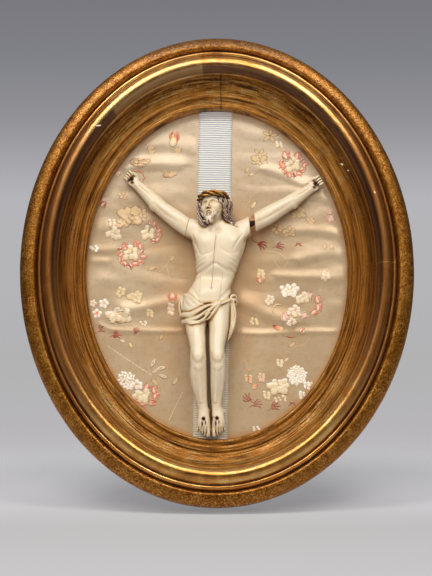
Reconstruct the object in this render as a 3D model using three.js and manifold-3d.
// A carved ivory corpus on a ribbon and a silk ground, in a deep oval gilt frame that hangs on a wall.
//
// Everything is drawn in the panel's own frame, in millimetres: x to the viewer's right, y up the panel and
// z out of the wall towards the viewer, with z = 0 on the wall. The last group turns the panel upright.
// The frame's opening is worked out from the figure and the room left round it, as a framer would.

import * as THREE from "three";
import { mergeVertices } from "three/addons/utils/BufferGeometryUtils.js";
import Module from "manifold-3d";

const wasm = await Module();
wasm.setup();

// Driving sizes of the figure and the room round it.
const FIGURE_HEIGHT = 242; // crown of the head to the tip of the toes
const HEAD_ROOM = 87.5; // bare silk above the crown
const FOOT_ROOM = 1.1; // bare silk below the toes
const HAND_CLEARANCE = 3.7; // left fingertips to the frame's inner edge

// Driving sizes of the frame's moulding at its sides, from its inner edge outwards.
const LIP_WIDTH = 4.6;
const INNER_COVE_WIDTH = 4.6;
const INNER_FILLET_WIDTH = 2.4;
const MAIN_COVE_WIDTH = 13.4;
const COVE_FILLET_WIDTH = 1.6;
const TORUS_WIDTH = 13.6;
const BEAD_WIDTH = 5.2;
const OUTER_BAND_WIDTH = 16.6;
const END_STRETCH = 1.14; // the inner members are this much wider at the oval's top and bottom
const OUTER_BAND_END_STRETCH = 0.9; // and the outer band this much narrower

// Heights of the moulding's members above the silk.
const LIP_RISE = 12;
const INNER_FILLET_RISE = 15;
const COVE_FILLET_RISE = 30;
const TORUS_RISE = 40;
const BEAD_RISE = 32.5;
const OUTER_BAND_RISE = 35;
const OUTER_EDGE_RISE = 28;
const EDGE_TAPER = 4; // the outer side slopes in by this much towards the wall

// Driving sizes of the layers behind the figure.
const BOARD_THICKNESS = 7;
const BOARD_RECESS = 5;
const BOARD_CLEARANCE = 0.5;
const RABBET_WIDTH = 7;
const SILK_THICKNESS = 0.6;
const RIBBON_THICKNESS = 0.5;
const RIBBON_WIDTH = 33.3;
const TOUCH_GAP = 0.3;

// The left arm has slipped outwards along the peg that carries it, and the peg shows in the gap.
const ARM_SLIP = 5.4;
const PEG_DIAMETER = 8.4;
const PEG_LENGTH = 14.5;

// The crown of twisted stems that rests on the hair.
const STEM_DIAMETER = 3.1;

// Where the frame hangs: this far below its top edge, on its flat back.
const HANG_DROP = 26;

// Fineness of the faceting.
const OVAL_STEPS = 36;
const LIMB_SIDES = 10;
const TRUNK_SIDES = 18;
const STRAND_SIDES = 5;

const TAU = 2 * Math.PI;

// The figure is drawn for this height, with its landmarks in millimetres from the middle of the opening.
const DRAWN_HEIGHT = 240;
const DRAWN_CROWN_TOP = 78.5;
const figureScale = FIGURE_HEIGHT / DRAWN_HEIGHT;

// Levels of the layers above the wall.
const boardFront = BOARD_RECESS + BOARD_THICKNESS;
const silkFront = boardFront + TOUCH_GAP + SILK_THICKNESS;
const ribbonFront = silkFront + TOUCH_GAP + RIBBON_THICKNESS;
const rabbetRoof = ribbonFront + TOUCH_GAP;

// The opening: its height holds the figure and the room above and below, and it is as wide as it has to be
// for the left fingertips to clear it.
const sightHalfHeight = (HEAD_ROOM + FIGURE_HEIGHT + FOOT_ROOM) / 2;
const figureOriginY =
  sightHalfHeight - HEAD_ROOM - DRAWN_CROWN_TOP * figureScale;
const LEFT_FINGERTIP = { x: 101.5, y: 93 };
const fingertipShare =
  (LEFT_FINGERTIP.y * figureScale + figureOriginY) / sightHalfHeight;
const sightHalfWidth =
  (LEFT_FINGERTIP.x * figureScale + HAND_CLEARANCE) /
  Math.sqrt(1 - fingertipShare ** 2);
const mouldingWidth =
  LIP_WIDTH +
  INNER_COVE_WIDTH +
  INNER_FILLET_WIDTH +
  MAIN_COVE_WIDTH +
  COVE_FILLET_WIDTH +
  TORUS_WIDTH +
  BEAD_WIDTH +
  OUTER_BAND_WIDTH;
const outerHalfHeight =
  sightHalfHeight +
  (mouldingWidth - OUTER_BAND_WIDTH) * END_STRETCH +
  OUTER_BAND_WIDTH * OUTER_BAND_END_STRETCH;

// A closed geometry skinned over rings of points. Closed rows of rings join their last ring to their first,
// and open rows end in a fan about each end's middle, pushed out by endBulge times the ring's own size.
function skin(rings, { closed = false, endBulge = 0 } = {}) {
  const sides = rings[0].length;
  const points = rings.flat();
  const faces = [];
  const rows = closed ? rings.length : rings.length - 1;
  for (let row = 0; row < rows; row++) {
    const next = (row + 1) % rings.length;
    for (let side = 0; side < sides; side++) {
      const beside = (side + 1) % sides;
      const a = row * sides + side;
      const b = row * sides + beside;
      const c = next * sides + beside;
      const d = next * sides + side;
      faces.push(a, b, c, a, c, d);
    }
  }
  if (!closed) {
    for (const [ring, inner, turn] of [
      [0, 1, 1],
      [rings.length - 1, rings.length - 2, 0],
    ]) {
      const middle = centroid(rings[ring]);
      const size = middle.distanceTo(rings[ring][0]);
      const outwards = middle.clone().sub(centroid(rings[inner])).normalize();
      points.push(middle.addScaledVector(outwards, endBulge * size));
      for (let side = 0; side < sides; side++) {
        const a = ring * sides + side;
        const b = ring * sides + ((side + 1) % sides);
        faces.push(points.length - 1, turn ? b : a, turn ? a : b);
      }
    }
  }
  const geometry = new THREE.BufferGeometry().setFromPoints(points);
  geometry.setIndex(faces);
  return geometry;
}

function centroid(points) {
  const sum = new THREE.Vector3();
  points.forEach((point) => sum.add(point));
  return sum.divideScalar(points.length);
}

// Solids for the boolean joins and cuts, and back to geometry.
function solidOf(geometry) {
  const bare = geometry.clone();
  bare.deleteAttribute("normal");
  bare.deleteAttribute("uv");
  const merged = mergeVertices(bare, 1e-4);
  const solid = new wasm.Manifold(
    new wasm.Mesh({
      numProp: 3,
      vertProperties: merged.attributes.position.array,
      triVerts: new Uint32Array(merged.index.array),
    }),
  );
  if (solid.volume() < 0) {
    throw new Error("a skin is inside out");
  }
  return solid;
}

function geometryOf(solid) {
  const { vertProperties, triVerts, numProp } = solid.getMesh();
  const positions = new Float32Array((vertProperties.length / numProp) * 3);
  for (let i = 0; i < positions.length / 3; i++) {
    positions.set(vertProperties.slice(i * numProp, i * numProp + 3), i * 3);
  }
  const geometry = new THREE.BufferGeometry();
  geometry.setAttribute("position", new THREE.BufferAttribute(positions, 3));
  geometry.setIndex(new THREE.BufferAttribute(triVerts, 1));
  return geometry;
}

function fuse(geometries) {
  return geometries.map(solidOf).reduce((all, next) => all.add(next));
}

// A place on the figure, from its drawn landmark to the panel's frame.
function at([x, y, z]) {
  return new THREE.Vector3(
    x * figureScale,
    y * figureScale + figureOriginY,
    silkFront + z * figureScale,
  );
}

// Stations of a limb, [x, y, z, half width, half depth], with more put between them on a smooth curve.
function smoothStations(stations, perSpan) {
  const centres = new THREE.CatmullRomCurve3(
    stations.map(([x, y, z]) => new THREE.Vector3(x, y, z)),
    false,
    "centripetal",
  );
  const sizes = new THREE.CatmullRomCurve3(
    stations.map(([, , , width, depth]) => new THREE.Vector3(width, depth, 0)),
    false,
    "catmullrom",
    0.5,
  );
  const count = (stations.length - 1) * perSpan;
  return Array.from({ length: count + 1 }, (_, i) => {
    const centre = centres.getPoint(i / count);
    const size = sizes.getPoint(i / count);
    return [centre.x, centre.y, centre.z, size.x, size.y];
  });
}

// A limb: an oval section carried along its stations. Its depth starts out towards the viewer and turns no
// more than the limb does.
function limb(
  stations,
  { sides = LIMB_SIDES, perSpan = 1, endBulge = 0.5 } = {},
) {
  const smooth = perSpan > 1 ? smoothStations(stations, perSpan) : stations;
  const centres = smooth.map(at);
  const side = new THREE.Vector3();
  const rings = smooth.map(([, , , width, depth], i) => {
    const before = centres[Math.max(i - 1, 0)];
    const after = centres[Math.min(i + 1, centres.length - 1)];
    const along = after.clone().sub(before).normalize();
    if (i === 0) {
      const upright = Math.abs(along.z) > 0.93;
      side.copy(along).cross(new THREE.Vector3(0, upright ? 1 : 0, upright ? 0 : 1));
    }
    side.addScaledVector(along, -side.dot(along)).normalize();
    const deep = side.clone().cross(along);
    return Array.from({ length: sides }, (_, s) => {
      const angle = (TAU * s) / sides;
      return centres[i]
        .clone()
        .addScaledVector(side, Math.cos(angle) * width * figureScale)
        .addScaledVector(deep, -Math.sin(angle) * depth * figureScale);
    });
  });
  return skin(rings, { endBulge });
}

// A round rope of cloth, hair or finger through some places, with one radius at each.
function strand(places, radii, options = {}) {
  return limb(
    places.map((place, i) => [...place, radii[i], radii[i]]),
    { sides: STRAND_SIDES, ...options },
  );
}

// A block that fills everything on the far side of a plane, to cut a solid off flat.
function blockBeyond(point, normal) {
  const size = FIGURE_HEIGHT;
  const block = new THREE.BoxGeometry(size, size, size);
  block.translate(0, 0, size / 2);
  const turn = new THREE.Quaternion().setFromUnitVectors(
    new THREE.Vector3(0, 0, 1),
    normal,
  );
  block.applyQuaternion(turn);
  block.translate(point.x, point.y, point.z);
  return solidOf(block);
}

// The torso, from the shoulders to the fork: [height, middle, depth of the middle, half width, half depth].
const TRUNK = [
  [51, -4, 20, 8, 6],
  [46, -1.5, 19, 16.5, 9.5],
  [40, 0.6, 18.4, 24, 12.6],
  [33, 1.6, 18, 26.4, 14.6],
  [26, 1.8, 18, 26, 15],
  [19, 1.5, 17.9, 24.6, 15.3],
  [12, 1, 17.7, 22.8, 15.2],
  [5, 0.2, 17.2, 21.2, 14],
  [-2, -0.9, 16.4, 19.8, 12.6],
  [-8, -2.2, 15.6, 18.8, 12],
  [-14, -4.4, 15.8, 19.2, 12.6],
  [-20.6, -7, 16.2, 20.8, 13.4],
  [-28, -8.6, 17, 22.6, 14.8],
  [-40, -9.2, 17.6, 23.2, 15.2],
  [-50, -9.4, 18.6, 20.6, 13.4],
];

// Soft swellings and hollows on the torso's front: [x, y, spread across, spread up, height].
const TORSO_FORMS = [
  [-10.5, 27, 9, 7.5, 2.6],
  [14.5, 28, 9, 7.5, 2.6],
  [2, 27, 2, 14, -1.8],
  [-11.5, 6, 5.5, 7, 2.2],
  [13.5, 7, 5.5, 7, 2.2],
  [1.2, 3.5, 6.5, 8, -3],
  [-4, -19, 9, 8, 1.4],
  [-4.8, -20.6, 2, 2, -2],
];

const RIGHT_LEG = [
  [-17.5, -38, 17.5, 12.4, 12.6],
  [-20.2, -58, 24.5, 9.6, 10.8],
  [-17.9, -80, 32.4, 7.3, 8.2],
  [-17.7, -89, 33.6, 7.9, 8.4],
  [-17.6, -96, 31, 7.9, 7.8],
  [-17.7, -105, 26.4, 8.4, 8.6],
  [-16.6, -115, 22, 7.5, 7.6],
  [-14.7, -126, 18.2, 5.5, 5.8],
  [-12.9, -142, 15, 5.2, 5.6],
];

const LEFT_LEG = [
  [0.8, -38, 17.5, 12, 12.6],
  [1.7, -58, 24.5, 9.4, 10.8],
  [-0.2, -80, 32.4, 7.1, 8.2],
  [0.7, -89, 33.6, 7.6, 8.4],
  [1, -96, 31, 7.5, 7.8],
  [1, -105, 26.4, 7.6, 8.6],
  [0.4, -115, 22, 6.6, 7.6],
  [-0.2, -126, 18.2, 5.2, 5.8],
  [-0.3, -142, 15, 5.2, 5.6],
];

// Each foot hangs with its toes down; inward is the side of the big toe.
const FEET = [
  { x: -12.6, inward: 1 },
  { x: 1.6, inward: -1 },
];
const TOES = [
  { across: 4.6, reach: 8.4, radius: 1.9 },
  { across: 1.4, reach: 7, radius: 1.2 },
  { across: -1.2, reach: 6.2, radius: 1.15 },
  { across: -3.7, reach: 5.2, radius: 1.1 },
  { across: -6, reach: 4, radius: 1.05 },
];
const TOE_ROOT_Y = -153;

const RIGHT_ARM = [
  [-24, 39, 16.6, 8.8, 8.8],
  [-37, 48.4, 15.4, 8.7, 8.6],
  [-51, 59.6, 13, 7.4, 7.2],
  [-59, 67.6, 11.8, 7.5, 7.2],
  [-68, 77.4, 9.4, 6.6, 6],
  [-76.5, 86, 7.4, 5.2, 4.6],
  [-79.6, 88.9, 6.6, 5, 4.1],
];

const LEFT_ARM = [
  [37, 47.3, 16.6, 8.8, 8.8],
  [49, 54.2, 15.2, 8.8, 8.6],
  [63, 63.2, 12.8, 7.4, 7.2],
  [72, 69.6, 11.8, 7.2, 7],
  [81, 76.2, 9.4, 6.4, 5.8],
  [89, 82.2, 7.4, 5.1, 4.6],
  [92, 84.4, 6.6, 5, 4.1],
];

// Where each arm is joined to the shoulder, and which way it leaves.
const RIGHT_JOINT = { place: [-28.4, 42.7, 16.2], leaves: [-0.977, 0.211, 0] };
const LEFT_JOINT = { place: [31.2, 45.6, 16.4], leaves: [0.996, 0.087, 0] };

// How far the torso's front stands out at a place, over its plain oval.
function torsoRelief(x, y) {
  return TORSO_FORMS.reduce((sum, [formX, formY, across, up, height]) => {
    const far = ((x - formX) / across) ** 2 + ((y - formY) / up) ** 2;
    return sum + height * Math.exp(-far);
  }, 0);
}

function signedPower(value, power) {
  return Math.sign(value) * Math.abs(value) ** power;
}

// The torso's skin, a little squarer than an oval, with its forms on the side that faces the viewer.
function trunk() {
  const rings = TRUNK.map(([y, middle, centre, width, depth]) =>
    Array.from({ length: TRUNK_SIDES }, (_, side) => {
      const angle = (TAU * side) / TRUNK_SIDES;
      const x = middle + width * signedPower(Math.cos(angle), 0.9);
      const outwards = signedPower(Math.sin(angle), 0.85);
      const relief = Math.max(Math.sin(angle), 0) * torsoRelief(x, y);
      return at([x, y, centre + depth * outwards + relief]);
    }),
  );
  return skin(rings, { endBulge: 0.2 });
}

// The shoulders, each from the root of the neck to the joint, with the tendon in front of the armpit.
function shoulders() {
  return [
    limb([
      [-6, 36, 17.5, 9, 9.5],
      [-18, 39, 17, 10.2, 10],
      [-32, 43.4, 16.2, 9.2, 8.8],
    ]),
    limb([
      [6, 34, 17.5, 9, 9.5],
      [20, 37.4, 17.2, 9.4, 10],
      [36, 46.6, 16.4, 7.6, 8.6],
    ]),
    limb(
      [
        [-14, 26, 26.5, 4.6, 4.6],
        [-21.5, 32.5, 23, 4.4, 4.4],
        [-27.5, 39, 19, 4.4, 4.4],
      ],
      { sides: 6 },
    ),
    limb(
      [
        [18, 26, 26.5, 4.6, 4.6],
        [25, 33.4, 23, 4.4, 4.4],
        [30.5, 41, 19, 4.2, 4.2],
      ],
      { sides: 6 },
    ),
  ];
}

function neck() {
  return limb([
    [0.4, 34, 19, 10, 9],
    [-0.8, 43, 22.4, 8.2, 8],
    [-2.2, 53, 26, 8, 8],
  ]);
}

function foot({ x, inward }) {
  const sole = limb([
    [x + 0.2 * inward, -135, 13.6, 4.6, 6.2],
    [x + 0.1 * inward, -142, 14.6, 5.6, 6.4],
    [x, -148.5, 16, 6.5, 5.2],
    [x, -154.5, 15, 7, 3.8],
  ]);
  const heel = strand(
    [
      [x, -136, 10.5],
      [x, -142.5, 7.6],
      [x, -146, 9.4],
    ],
    [4.2, 4.6, 3.6],
  );
  const toes = TOES.map(({ across, reach, radius }) =>
    strand(
      [
        [x + inward * across, TOE_ROOT_Y + 1.5, 15],
        [x + inward * across, TOE_ROOT_Y - reach * 0.5, 14.4],
        [x + inward * across, TOE_ROOT_Y - reach + radius * 0.6, 12.8],
      ],
      [radius * 1.05, radius, radius * 0.92],
    ),
  );
  return [sole, heel, ...toes];
}

// The loincloth: folds that fan from the gather on the left hip round the right one.
const GATHER = [2.2, -35.6, 31.5];
const FOLDS = [
  { path: [[-11, -36.8, 33.2], [-23, -41.4, 28.4], [-32, -42.6, 18.5]], radii: [2, 2.2, 2.6, 2.8] },
  { path: [[-9, -39.6, 34.4], [-21, -45.8, 31.4], [-31.4, -47.4, 20.5]], radii: [2.2, 3, 4.2, 4.2] },
  { path: [[-7, -42.6, 34], [-17, -50, 33.2], [-28.4, -53.6, 24]], radii: [2.2, 3, 4, 4.2] },
  { path: [[-3, -43, 32.4], [-11, -51, 33], [-19, -55.6, 32.4], [-28.6, -57, 24]], radii: [2.2, 2.2, 2.4, 2.4, 2.4] },
];

function loincloth() {
  const folds = FOLDS.map(({ path, radii }) =>
    strand([GATHER, ...path], radii),
  );
  const hipFold = strand(
    [
      [-31.4, -24.5, 14],
      [-33.4, -31, 15],
      [-33.6, -40, 15.4],
      [-31.6, -49, 17],
    ],
    [1.8, 2.4, 3, 3.4],
  );
  const wrap = limb(
    [
      [-14.5, -36.5, 17.4, 17.6, 15.4],
      [-16.5, -46, 19, 15.6, 15.6],
      [-18.4, -56, 22.6, 12, 13],
    ],
    { endBulge: 0.1 },
  );
  const seat = limb(
    [
      [-9, -27, 10, 20.4, 9],
      [-9.2, -40, 10.4, 22.4, 9.6],
      [-10, -54, 13, 19.6, 9],
    ],
    { endBulge: 0.1 },
  );
  return [wrap, seat, ...folds, hipFold];
}

// The cord across the left hip, its knot, and the end of the cloth that falls beside the thigh.
function cordAndFall() {
  const cord = strand(
    [
      GATHER,
      [8, -33.4, 29.4],
      [14.4, -30, 22.6],
    ],
    [1.8, 1.3, 1.5],
  );
  const knot = strand(
    [
      [11.6, -30.6, 24],
      [15, -28.6, 21.6],
      [16.4, -27.4, 17],
    ],
    [1.6, 2.9, 1.6],
  );
  const fall = limb(
    [
      [14.2, -29.5, 20.5, 1.8, 3.4],
      [14.6, -38, 19.6, 3, 4.6],
      [14.8, -50, 19.4, 3.4, 4.8],
      [12.8, -60, 21, 2.6, 4],
      [9.8, -69.6, 23, 0.9, 1.8],
    ],
    { sides: 10 },
  );
  return [cord, knot, fall];
}

// The head's own frame: x to its left ear, y up, z out of the face.
const HEAD_CENTRE = [-3.4, 59.6, 26.8];
const HEAD_TURN = new THREE.Euler(
  THREE.MathUtils.degToRad(-9),
  THREE.MathUtils.degToRad(-24),
  THREE.MathUtils.degToRad(5),
  "YXZ",
);

function onHead([x, y, z]) {
  const place = new THREE.Vector3(x, y, z).applyEuler(HEAD_TURN);
  return [
    place.x + HEAD_CENTRE[0],
    place.y + HEAD_CENTRE[1],
    place.z + HEAD_CENTRE[2],
  ];
}

// The skull and jaw: [height, forward shift, half width, half depth].
const SKULL = [
  [13.6, -0.6, 6, 7.4],
  [10.4, -0.4, 10, 12],
  [6, 0, 11.4, 13.6],
  [3, 0.2, 11.6, 13.8],
  [0.4, 0.4, 11.5, 13.4],
  [-2.4, 0.6, 11.1, 13.2],
  [-5.4, 1.2, 10.4, 12.6],
  [-8.6, 2.4, 9.4, 11],
  [-12, 4, 7.8, 9],
  [-15.4, 5.2, 5.6, 7],
];
const SKULL_SIDES = 18;

// Forms of the face on even proportions, by where they face: [across, height, spread across, spread up, rise].
const FACE_FORMS = [
  [0, 3.4, 8, 1.8, 1.2],
  [-4.4, 0.6, 2.6, 1.8, -1.7],
  [4.4, 0.6, 2.6, 1.8, -1.7],
  [-6.2, -3.2, 2.8, 2.4, 0.9],
  [6.2, -3.2, 2.8, 2.4, 0.9],
  [0, -8.4, 3, 2, 0.9],
];

function skull() {
  const rings = SKULL.map(([y, forward, width, depth]) =>
    Array.from({ length: SKULL_SIDES }, (_, side) => {
      const angle = (TAU * side) / SKULL_SIDES + TAU / 4;
      const x = width * Math.cos(angle);
      const facing = Math.max(Math.sin(angle), 0);
      const relief = FACE_FORMS.reduce((sum, [formX, formY, across, up, rise]) => {
        const far = ((x - formX) / across) ** 2 + ((y - formY) / up) ** 2;
        return sum + rise * Math.exp(-far);
      }, 0);
      return at(onHead([x, y, forward + depth * Math.sin(angle) + facing * relief]));
    }),
  );
  return skin(rings, { endBulge: 0.25 });
}

// Nose, lips and the two points of the short beard.
function faceAndBeard() {
  const nose = strand(
    [
      [0, 3, 12.6],
      [0, -1.6, 14.2],
      [0, -4.8, 15.6],
    ].map(onHead),
    [1.1, 1.4, 1.8],
  );
  const lips = [-7.8, -9.4].map((y) =>
    strand(
      [
        [-2.6, y, 12.2],
        [0, y, 13.8],
        [2.6, y, 12.2],
      ].map(onHead),
      [0.5, 0.9, 0.5],
      { sides: 4 },
    ),
  );
  const beard = [-1, 1].map((hand) =>
    strand(
      [
        [hand * 8, -7, 6],
        [hand * 4.6, -13.4, 9.6],
        [hand * 1.8, -20.8, 10.4],
      ].map(onHead),
      [1.6, 3.2, 1.3],
    ),
  );
  return [nose, ...lips, ...beard];
}

// Locks of hair that fall from the parting, over each ear and on to the shoulders.
const LOCKS = [
  { path: [[-6, 9.5, 9.5], [-11, 3, 7.5], [-12, -5, 5.6], [-10.4, -13, 7], [-8.6, -19.4, 6.6]], radii: [2.6, 3.2, 3, 2.8, 1.8] },
  { path: [[-7, 9, 4], [-12, 1, 1.5], [-12.6, -8, 0], [-11, -16, 1.4]], radii: [3, 3.8, 3.6, 2.2] },
  { path: [[6, 9.5, 9.5], [11.2, 3, 7], [12.4, -5, 4.6], [12, -13, 2.4], [13, -20.5, -1]], radii: [2.6, 3.2, 3.2, 3, 1.6] },
  { path: [[7, 9, 3.4], [12.4, 1, 0.5], [13.6, -8, -1.6], [13.2, -17, -4.4], [15.6, -24.5, -7.4]], radii: [3, 3.8, 3.8, 3.4, 1.8] },
];

function hair() {
  const backOfHead = limb(
    [
      [...onHead([0, 9, -7]), 9, 7],
      [...onHead([0, -3, -8]), 13, 7],
      [...onHead([0, -14, -7.4]), 12.6, 6],
      [...onHead([1, -21, -7]), 10, 4],
    ],
    { sides: 8 },
  );
  const locks = LOCKS.map(({ path, radii }) => strand(path.map(onHead), radii));
  return [backOfHead, ...locks];
}

// The body is one piece of ivory: head, trunk, cloth and legs. Each shoulder is cut off flat where its arm
// meets it, and the left one is bored for the peg that the slipped arm hangs on.
function corpus() {
  const body = fuse([
    trunk(),
    ...shoulders(),
    neck(),
    limb(RIGHT_LEG),
    limb(LEFT_LEG),
    ...FEET.flatMap(foot),
    ...loincloth(),
    ...cordAndFall(),
    skull(),
    ...faceAndBeard(),
    ...hair(),
  ]);
  const left = jointOf(LEFT_JOINT);
  const right = jointOf(RIGHT_JOINT);
  return geometryOf(
    body
      .subtract(blockBeyond(left.place, left.along))
      .subtract(blockBeyond(right.place, right.along))
      .subtract(blockBeyond(backOfFigure(), new THREE.Vector3(0, 0, -1)))
      .subtract(pegRound(TOUCH_GAP))
      .subtract(solidOf(crownSeat())),
  );
}

function jointOf({ place, leaves }) {
  return {
    place: at(place),
    along: new THREE.Vector3(...leaves).normalize(),
  };
}

// The peg in the left shoulder runs along the arm. Where clearance is given, this is the bore round it.
const PEG_MIDDLE = [34.1, 48.3, 16.4];
const PEG_LEAVES = [0.86, 0.51, 0];

function pegRound(clearance) {
  const round = new THREE.CylinderGeometry(
    PEG_DIAMETER / 2 + clearance,
    PEG_DIAMETER / 2 + clearance,
    PEG_LENGTH + 2 * clearance,
    16,
  );
  round.applyQuaternion(
    new THREE.Quaternion().setFromUnitVectors(
      new THREE.Vector3(0, 1, 0),
      new THREE.Vector3(...PEG_LEAVES).normalize(),
    ),
  );
  const middle = at(PEG_MIDDLE);
  round.translate(middle.x, middle.y, middle.z);
  return solidOf(round);
}

// The figure rests its back on the ribbon.
function backOfFigure() {
  return new THREE.Vector3(0, 0, ribbonFront + TOUCH_GAP);
}

// A hand lies open to the front with its fingers curled in over the palm, and the thumb beside them.
function hand(wrist, direction, thumbSide) {
  const along = new THREE.Vector3(...direction, 0).normalize();
  const across = new THREE.Vector3(-along.y, along.x, 0).multiplyScalar(thumbSide);
  const place = (forward, sideways, out) => [
    wrist[0] + along.x * forward + across.x * sideways,
    wrist[1] + along.y * forward + across.y * sideways,
    wrist[2] + out,
  ];
  const palm = limb(
    [
      [...place(-1, 0, 0), 5.2, 3.9],
      [...place(4, 0, -0.8), 5.8, 3.4],
      [...place(8.6, -0.2, -0.8), 5.8, 2.9],
    ],
    { sides: 8 },
  );
  const fingers = [4.2, 1.4, -1.4, -4].map((sideways, i) =>
    strand(
      [
        place(7, sideways, -0.8),
        place(12.6 - 0.5 * i, sideways, 1.8),
        place(9.2 - 0.4 * i, sideways, 5.2),
      ],
      [1.2, 1.3, 1.1],
      { sides: 4 },
    ),
  );
  const thumb = strand(
    [
      place(1.6, 4.4, 0.6),
      place(5.6, 6.2, 2.6),
      place(9, 4.6, 4.6),
    ],
    [2.2, 1.9, 1.3],
    { sides: 4 },
  );
  return [palm, ...fingers, thumb];
}

function rightArm() {
  const joint = jointOf(RIGHT_JOINT);
  const meeting = joint.place.clone().addScaledVector(joint.along, TOUCH_GAP);
  return geometryOf(
    fuse([
      limb(RIGHT_ARM),
      ...hand([-79.6, 88.9, 6.6], [-0.72, 0.69], -1),
    ]).subtract(blockBeyond(meeting, joint.along.clone().negate())),
  );
}

function leftArm() {
  const joint = jointOf(LEFT_JOINT);
  const meeting = joint.place.clone().addScaledVector(joint.along, ARM_SLIP);
  return geometryOf(
    fuse([
      limb([[30, 43.6, 16.8, 8.8, 8.8], ...LEFT_ARM]),
      ...hand([92, 84.4, 6.6], [0.78, 0.63], 1),
    ])
      .subtract(blockBeyond(meeting, joint.along.clone().negate()))
      .subtract(pegRound(TOUCH_GAP)),
  );
}

// The crown: three stems twisted round one another in a ring that sits over the hair.
const CROWN_HALF_WIDTH = 13.4;
const CROWN_HALF_DEPTH = 15.2;
const CROWN_HEIGHT = 8.6;
const CROWN_TWISTS = 3;
const CROWN_STEMS = 3;
const CROWN_STEPS = 21;
const SEAT_STEPS = 12;
const STEM_REACH = 0.95;
const STEM_LIFT = 1.25;

// A ring round the head at the crown's place, its section given by angle as [outwards, upwards].
function headRing(sectionAt, steps) {
  const rings = Array.from({ length: steps }, (_, step) => {
    const round = (TAU * step) / steps;
    return sectionAt(round).map(([out, up]) =>
      at(
        onHead([
          Math.cos(round) * (CROWN_HALF_WIDTH + out),
          CROWN_HEIGHT + up,
          Math.sin(round) * (CROWN_HALF_DEPTH + out) - 0.4,
        ]),
      ),
    );
  });
  return skin(rings, { closed: true });
}

function ovalSection(width, height, out, up, sides) {
  return Array.from({ length: sides }, (_, side) => {
    const angle = (TAU * side) / sides;
    return [out + width * Math.cos(angle), up + height * Math.sin(angle)];
  });
}

function crownOfThorns() {
  const radius = STEM_DIAMETER / 2 / figureScale;
  const stems = Array.from({ length: CROWN_STEMS }, (_, stem) =>
    headRing((round) => {
      const twist = CROWN_TWISTS * round + (TAU * stem) / CROWN_STEMS;
      return ovalSection(
        radius,
        radius,
        radius * STEM_REACH * Math.cos(twist),
        radius * STEM_LIFT * Math.sin(twist),
        4,
      );
    }, CROWN_STEPS),
  );
  return geometryOf(fuse(stems));
}

// The groove that the crown sits in: the hair is cut back all round it.
function crownSeat() {
  const radius = STEM_DIAMETER / 2 / figureScale + TOUCH_GAP;
  const groove = ovalSection(
    radius * (1 + STEM_REACH) * 1.12,
    radius * (1 + STEM_LIFT) * 1.12,
    0,
    0,
    6,
  );
  return headRing(() => groove, SEAT_STEPS);
}

// A point of the oval that runs at a distance outwards from the opening. Each member of the moulding is an
// oval of its own, and its width at the ends differs from its width at the sides.
function ovalPoint(angle, outwards) {
  const bandStart = mouldingWidth - OUTER_BAND_WIDTH;
  const inner = Math.min(outwards, bandStart);
  const atEnds = inner * END_STRETCH + (outwards - inner) * OUTER_BAND_END_STRETCH;
  return new THREE.Vector2(
    (sightHalfWidth + outwards) * Math.cos(angle),
    (sightHalfHeight + atEnds) * Math.sin(angle),
  );
}

// Points of an arc of an ellipse in the moulding's section, from one angle to another, in degrees.
function arc(centre, radii, from, to, steps) {
  return Array.from({ length: steps + 1 }, (_, i) => {
    const angle = THREE.MathUtils.degToRad(from + ((to - from) * i) / steps);
    return [
      centre[0] + radii[0] * Math.cos(angle),
      centre[1] + radii[1] * Math.sin(angle),
    ];
  });
}

// The moulding's section, [distance outwards from the opening, height above the wall], from the inner edge
// over the front to the outer edge and back along the wall and the rabbet.
function mouldingSection() {
  const lipTop = silkFront + LIP_RISE;
  const innerFillet = silkFront + INNER_FILLET_RISE;
  const coveFillet = silkFront + COVE_FILLET_RISE;
  const torusTop = silkFront + TORUS_RISE;
  const beadTop = silkFront + BEAD_RISE;
  const bandTop = silkFront + OUTER_BAND_RISE;
  const outerEdge = silkFront + OUTER_EDGE_RISE;
  const innerCoveEnd = LIP_WIDTH + INNER_COVE_WIDTH;
  const coveStart = innerCoveEnd + INNER_FILLET_WIDTH;
  const coveEnd = coveStart + MAIN_COVE_WIDTH;
  const torusStart = coveEnd + COVE_FILLET_WIDTH;
  const beadStart = torusStart + TORUS_WIDTH;
  const bandStart = beadStart + BEAD_WIDTH;
  const quirk = BEAD_WIDTH / 4; // width of the groove on each side of the bead
  const quirkDepth = BEAD_WIDTH * 0.6;
  return [
    [0, rabbetRoof],
    [0, lipTop - LIP_WIDTH * 0.6],
    [LIP_WIDTH * 0.45, lipTop],
    [LIP_WIDTH, lipTop - LIP_WIDTH * 0.2],
    ...arc(
      [LIP_WIDTH, innerFillet],
      [INNER_COVE_WIDTH, innerFillet - lipTop + LIP_WIDTH * 0.3],
      -70,
      0,
      2,
    ),
    [coveStart - 0.8, innerFillet],
    [coveStart, innerFillet - 2],
    ...arc(
      [coveStart, coveFillet],
      [MAIN_COVE_WIDTH, coveFillet - innerFillet],
      -80,
      0,
      4,
    ),
    [torusStart, coveFillet],
    ...arc(
      [torusStart + TORUS_WIDTH / 2, beadTop - quirkDepth],
      [TORUS_WIDTH / 2, torusTop - beadTop + quirkDepth],
      160,
      0,
      6,
    ),
    [beadStart + quirk, beadTop - quirkDepth],
    [beadStart + quirk * 1.6, beadTop],
    [bandStart - quirk, beadTop],
    [bandStart - quirk * 0.6, beadTop - quirkDepth],
    [bandStart, beadTop - quirkDepth],
    ...arc(
      [bandStart + OUTER_BAND_WIDTH * 0.25, outerEdge],
      [OUTER_BAND_WIDTH * 0.75, bandTop - outerEdge],
      100,
      0,
      4,
    ),
    [mouldingWidth - EDGE_TAPER, 0],
    [RABBET_WIDTH, 0],
    [RABBET_WIDTH, rabbetRoof],
  ];
}

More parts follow.
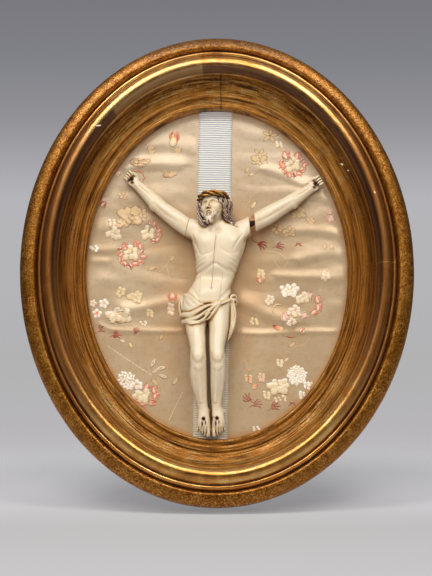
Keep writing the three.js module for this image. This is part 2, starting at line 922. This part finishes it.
function giltFrame() {
  const section = mouldingSection();
  const rings = Array.from({ length: OVAL_STEPS }, (_, step) => {
    const angle = (TAU * step) / OVAL_STEPS;
    return section.map(([outwards, height]) => {
      const point = ovalPoint(angle, outwards);
      return new THREE.Vector3(point.x, point.y, height);
    });
  });
  return skin(rings, { closed: true });
}

// A flat oval plate that fills the rabbet, from one level to another.
function ovalPlate(from, to) {
  const edge = RABBET_WIDTH - BOARD_CLEARANCE;
  const outline = Array.from({ length: OVAL_STEPS }, (_, step) =>
    ovalPoint((TAU * step) / OVAL_STEPS, edge),
  );
  const plate = new THREE.ExtrudeGeometry(new THREE.Shape(outline), {
    depth: to - from,
    bevelEnabled: false,
  });
  return plate.translate(0, 0, from);
}

// The ribbon runs straight behind the figure, a little off plumb, and is cut to the board's outline.
const RIBBON_TOP_X = -1.2;
const RIBBON_FOOT_X = -6.6;

function ribbon() {
  const level = silkFront + TOUCH_GAP;
  const long = 2 * sightHalfHeight + 4 * RABBET_WIDTH;
  const lean = Math.atan2(
    (RIBBON_TOP_X - RIBBON_FOOT_X) * figureScale,
    2 * sightHalfHeight,
  );
  const strip = new THREE.BoxGeometry(RIBBON_WIDTH, long, RIBBON_THICKNESS);
  strip.rotateZ(-lean);
  strip.translate(
    ((RIBBON_TOP_X + RIBBON_FOOT_X) / 2) * figureScale,
    0,
    level + RIBBON_THICKNESS / 2,
  );
  const outline = ovalPlate(level - 1, level + RIBBON_THICKNESS + 1);
  return geometryOf(solidOf(strip).intersect(solidOf(outline)));
}

function finish(colour, roughness, metalness = 0) {
  return new THREE.MeshStandardMaterial({ color: colour, roughness, metalness });
}

const gilding = finish("#b98136", 0.38, 0.85);
const ivory = finish("#ead8b8", 0.42);
const gildedStems = finish("#8a5a22", 0.5, 0.4);
const silk = finish("#d0b391", 0.5);
const ribbonSilk = finish("#b9b8b2", 0.6);
const pine = finish("#8a6a44", 0.8);

const panel = new THREE.Group();
panel.rotation.x = Math.PI / 2;
panel.position.z = -(outerHalfHeight - HANG_DROP);

for (const [name, geometry, material] of [
  ["gilt_frame", giltFrame(), gilding],
  ["backing_board", ovalPlate(BOARD_RECESS, boardFront), pine],
  ["silk_ground", ovalPlate(boardFront + TOUCH_GAP, silkFront), silk],
  ["ribbon", ribbon(), ribbonSilk],
  ["corpus", corpus(), ivory],
  ["right_arm", rightArm(), ivory],
  ["left_arm", leftArm(), ivory],
  ["shoulder_peg", geometryOf(pegRound(0)), pine],
  ["crown_of_thorns", crownOfThorns(), gildedStems],
]) {
  const mesh = new THREE.Mesh(geometry, material);
  mesh.name = name;
  panel.add(mesh);
}

const framedCorpus = new THREE.Group();
framedCorpus.add(panel);

export default framedCorpus;
